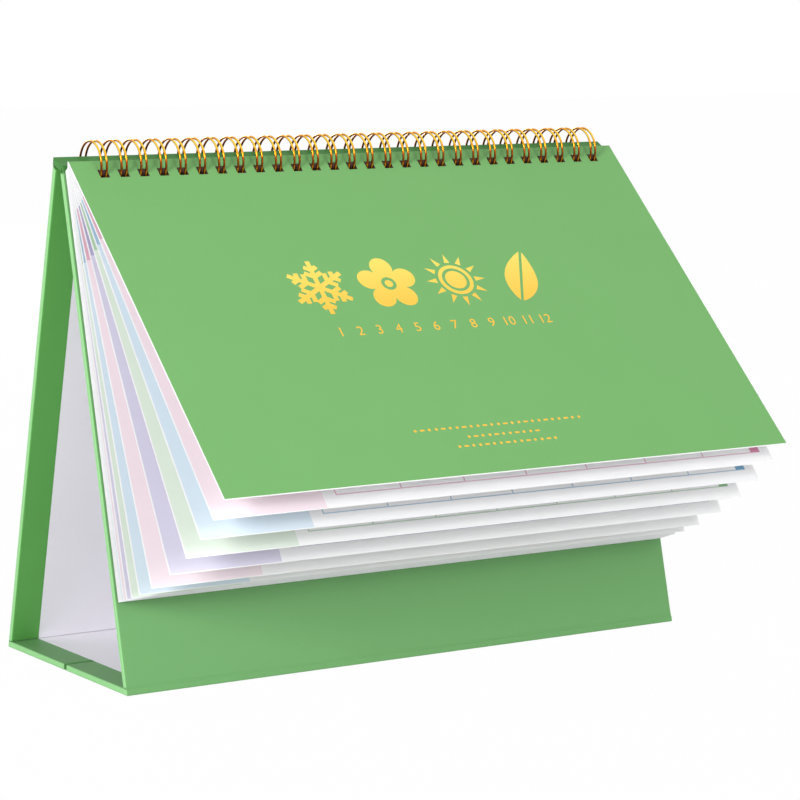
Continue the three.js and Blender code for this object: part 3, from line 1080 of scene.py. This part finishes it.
def page_material(tint, leaf):
    """The printed front of a page in one of the four tints, with painted shade in and round its holes."""
    name = f"{tint}_page_finish"
    if name in bpy.data.materials:
        return bpy.data.materials[name]
    material, net, shader = new_material(name, tint, 0.6)
    printed = net.group(page_print_group(), {
        "Sheet": colour_of("sheet"), "Pale": colour_of(tint),
        "Deep": colour_of(f"{tint}_deep"), "Aspect": 2 * leaf.half / leaf.height})
    page = net.page()
    across = net.math("MULTIPLY_ADD", page["X"], 2 * leaf.half, -leaf.half)
    down = net.math("MULTIPLY_ADD", page["Y"], -leaf.height, leaf.height - leaf.hole_row)
    # painted shade in and round the page's holes
    shade = hole_mask(net, across, down, SHADE_ROUND_HOLE["page"])
    paint = net.mix(shade, printed["Colour"], colour_of("shade"))
    add_grain(net, shader, paint, mottle=0.03)
    return material


class CALENDAR_OT_pages(bpy.types.Operator):
    """Builds the twelve month pages, their day numbers and the last leaf"""

    bl_idname = "calendar.pages"
    bl_label = "Month pages"

    def execute(self, context):
        foil = sizes().foil
        figures = {
            day: text_outline_mesh(str(day), 3.2 * MM, foil) for day in range(1, max(DAYS) + 1)}
        ink = new_material("ink_finish", "figure", 0.6)[0]
        weekday = FIRST_WEEKDAY
        for k, (month, days) in enumerate(zip(MONTHS, DAYS)):
            tint = TINTS[k % len(TINTS)]
            leaf = self.page(f"leaf_{month}", f"page_{month}", tint)
            large = text_outline_mesh(str(k + 1), 9 * MM, foil)
            shapes = self.numbers(leaf, figures, large, weekday, days)
            put_on_leaf(f"figures_{month}", shapes, leaf, ink)
            weekday = (weekday + days) % WEEK
        self.page("leaf_end", "page_end", "pink")
        return {"FINISHED"}

    def page(self, node, name, tint):
        leaf = Leaf(node)
        piece = build_leaf(name, leaf, page_material(tint, leaf))
        return leaf

    def numbers(self, leaf, figures, month_figure, weekday, days):
        """Day numbers in the cells of the grid, and the month's number in the dark block."""
        width = 2 * leaf.half
        cell_wide = (PAGE["grid_right"] - PAGE["grid_left"]) / WEEK * width
        cell_high = (PAGE["grid_bottom"] - PAGE["grid_top"]) / GRID_ROWS * leaf.height
        first_x = PAGE["grid_left"] * width - leaf.half + 4.2 * MM
        first_t = PAGE["grid_top"] * leaf.height + 4.0 * MM
        shapes = []
        for day in range(1, days + 1):
            row, column = divmod(weekday + day - 1, WEEK)
            shapes.append(figure_on(
                leaf, figures[day], first_x + column * cell_wide, first_t + row * cell_high))
        block_x = (PAGE["column"] / 2 - 0.5) * width
        block_t = (PAGE["header_top"] + PAGE["header_bottom"]) / 2 * leaf.height
        return [*shapes, figure_on(leaf, month_figure, block_x, block_t)]


# Stage


class CALENDAR_OT_stage(bpy.types.Operator):
    """Sets up the floor, the lamps, the white surroundings and the camera"""

    bl_idname = "calendar.stage"
    bl_label = "Stage"

    def execute(self, context):
        self.floor()
        self.lamps()
        self.world(context.scene)
        self.camera(context.scene)
        context.scene.view_settings.view_transform = "Standard"
        return {"FINISHED"}

    def floor(self):
        """A wide plane that is plain white to the camera, with part of the object's shadow."""
        reach, whiteness = 6.0, 0.985
        corners = [(x * reach, y * reach, 0) for x, y in ((-1, -1), (1, -1), (1, 1), (-1, 1))]
        material = bpy.data.materials.new("floor")
        material.use_nodes = True
        tree = material.node_tree
        net = Net(tree)
        shader = tree.nodes["Principled BSDF"]
        for key, value in (
                ("Base Color", (0.9, 0.9, 0.9, 1)), ("Roughness", 0.9),
                ("Specular IOR Level", 0.0)):
            shader.inputs[key].default_value = value
        white = net.add("ShaderNodeEmission", {"Color": (1, 1, 1, 1), "Strength": 1.0})
        mixed = net.add("ShaderNodeMixShader", {
            0: net.math("MULTIPLY", net.seen(), whiteness), 1: shader.outputs["BSDF"],
            2: white.outputs["Emission"]})
        net.put(mixed.outputs["Shader"], tree.nodes["Material Output"].inputs["Surface"])
        floor = new_piece("floor", corners, [(0, 1, 2, 3)], [material])
        floor.location.z = -0.3 * MM

    def lamps(self):
        """A key lamp in front, one on the left, a low one in front and one behind.

        Each is square, and is given as its place, its side and its power in watts."""
        middle = Vector((0, -0.026, 0.1))
        for name, place, size, power in (
                ("key_lamp", (0.2, -2.1, 0.9), 0.7, 13.8),
                ("left_lamp", (-1.7, -0.9, 0.75), 0.6, 26.5),
                ("front_lamp", (0.9, -2.0, 0.05), 0.6, 10.4),
                ("back_lamp", (0.4, 2.2, 0.9), 0.7, 18.0)):
            lamp = bpy.data.lights.new(name, "AREA")
            lamp.energy = power
            lamp.size = size
            aimed(name, lamp, Vector(place), middle)

    def world(self, scene):
        """White to the camera and in reflections, and a plain soft light elsewhere."""
        world = bpy.data.worlds.new("surroundings")
        scene.world = world
        world.use_nodes = True
        tree = world.node_tree
        net = Net(tree)
        soft = 0.35
        strength = net.math("MULTIPLY_ADD", net.seen(), 1.0 - soft, soft)
        background = tree.nodes["Background"]
        background.inputs["Color"].default_value = (1, 1, 1, 1)
        net.put(strength, background.inputs["Strength"])

    def camera(self, scene):
        """A long lens at the photograph's height and side, level and unshifted."""
        azimuth = math.radians(-32.51)
        elevation = math.radians(7.47)
        distance = 1.2248
        target = Vector((0.0259, -0.026, 0.0950))
        way = Vector((
            math.sin(azimuth) * math.cos(elevation),
            -math.cos(azimuth) * math.cos(elevation),
            math.sin(elevation)))
        camera = bpy.data.cameras.new("camera")
        camera.sensor_width = 36.0
        camera.lens = 134.1
        camera.clip_start = 0.01
        scene.camera = aimed("camera", camera, target + way * distance, target)


# Add-on


PIECES = (
    CALENDAR_OT_boards,
    CALENDAR_OT_creases,
    CALENDAR_OT_wire,
    CALENDAR_OT_cover,
    CALENDAR_OT_pages,
    CALENDAR_OT_stage,
)


class CALENDAR_PT_panel(bpy.types.Panel):
    """Lists the calendar's sizes, colours and pieces"""

    bl_idname = "CALENDAR_PT_panel"
    bl_label = "Desk calendar"
    bl_space_type = "VIEW_3D"
    bl_region_type = "UI"
    bl_category = "Calendar"

    def draw(self, context):
        for group in (context.scene.calendar_sizes, context.scene.calendar_colours):
            for name in group.bl_rna.properties.keys():
                if name not in ("rna_type", "name"):
                    self.layout.prop(group, name)
        for piece in PIECES:
            self.layout.operator(piece.bl_idname)


CLASSES = (CalendarSizes, CalendarColours, *PIECES, CALENDAR_PT_panel)


def register():
    for cls in CLASSES:
        bpy.utils.register_class(cls)
    bpy.types.Scene.calendar_sizes = bpy.props.PointerProperty(type=CalendarSizes)
    bpy.types.Scene.calendar_colours = bpy.props.PointerProperty(type=CalendarColours)


def unregister():
    del bpy.types.Scene.calendar_colours
    del bpy.types.Scene.calendar_sizes
    for cls in reversed(CLASSES):
        bpy.utils.unregister_class(cls)


def main():
    register()
    bpy.ops.calendar.boards()
    bpy.ops.calendar.creases()
    bpy.ops.calendar.wire()
    bpy.ops.calendar.cover()
    bpy.ops.calendar.pages()
    bpy.ops.calendar.stage()


if __name__ == "__main__":
    main()
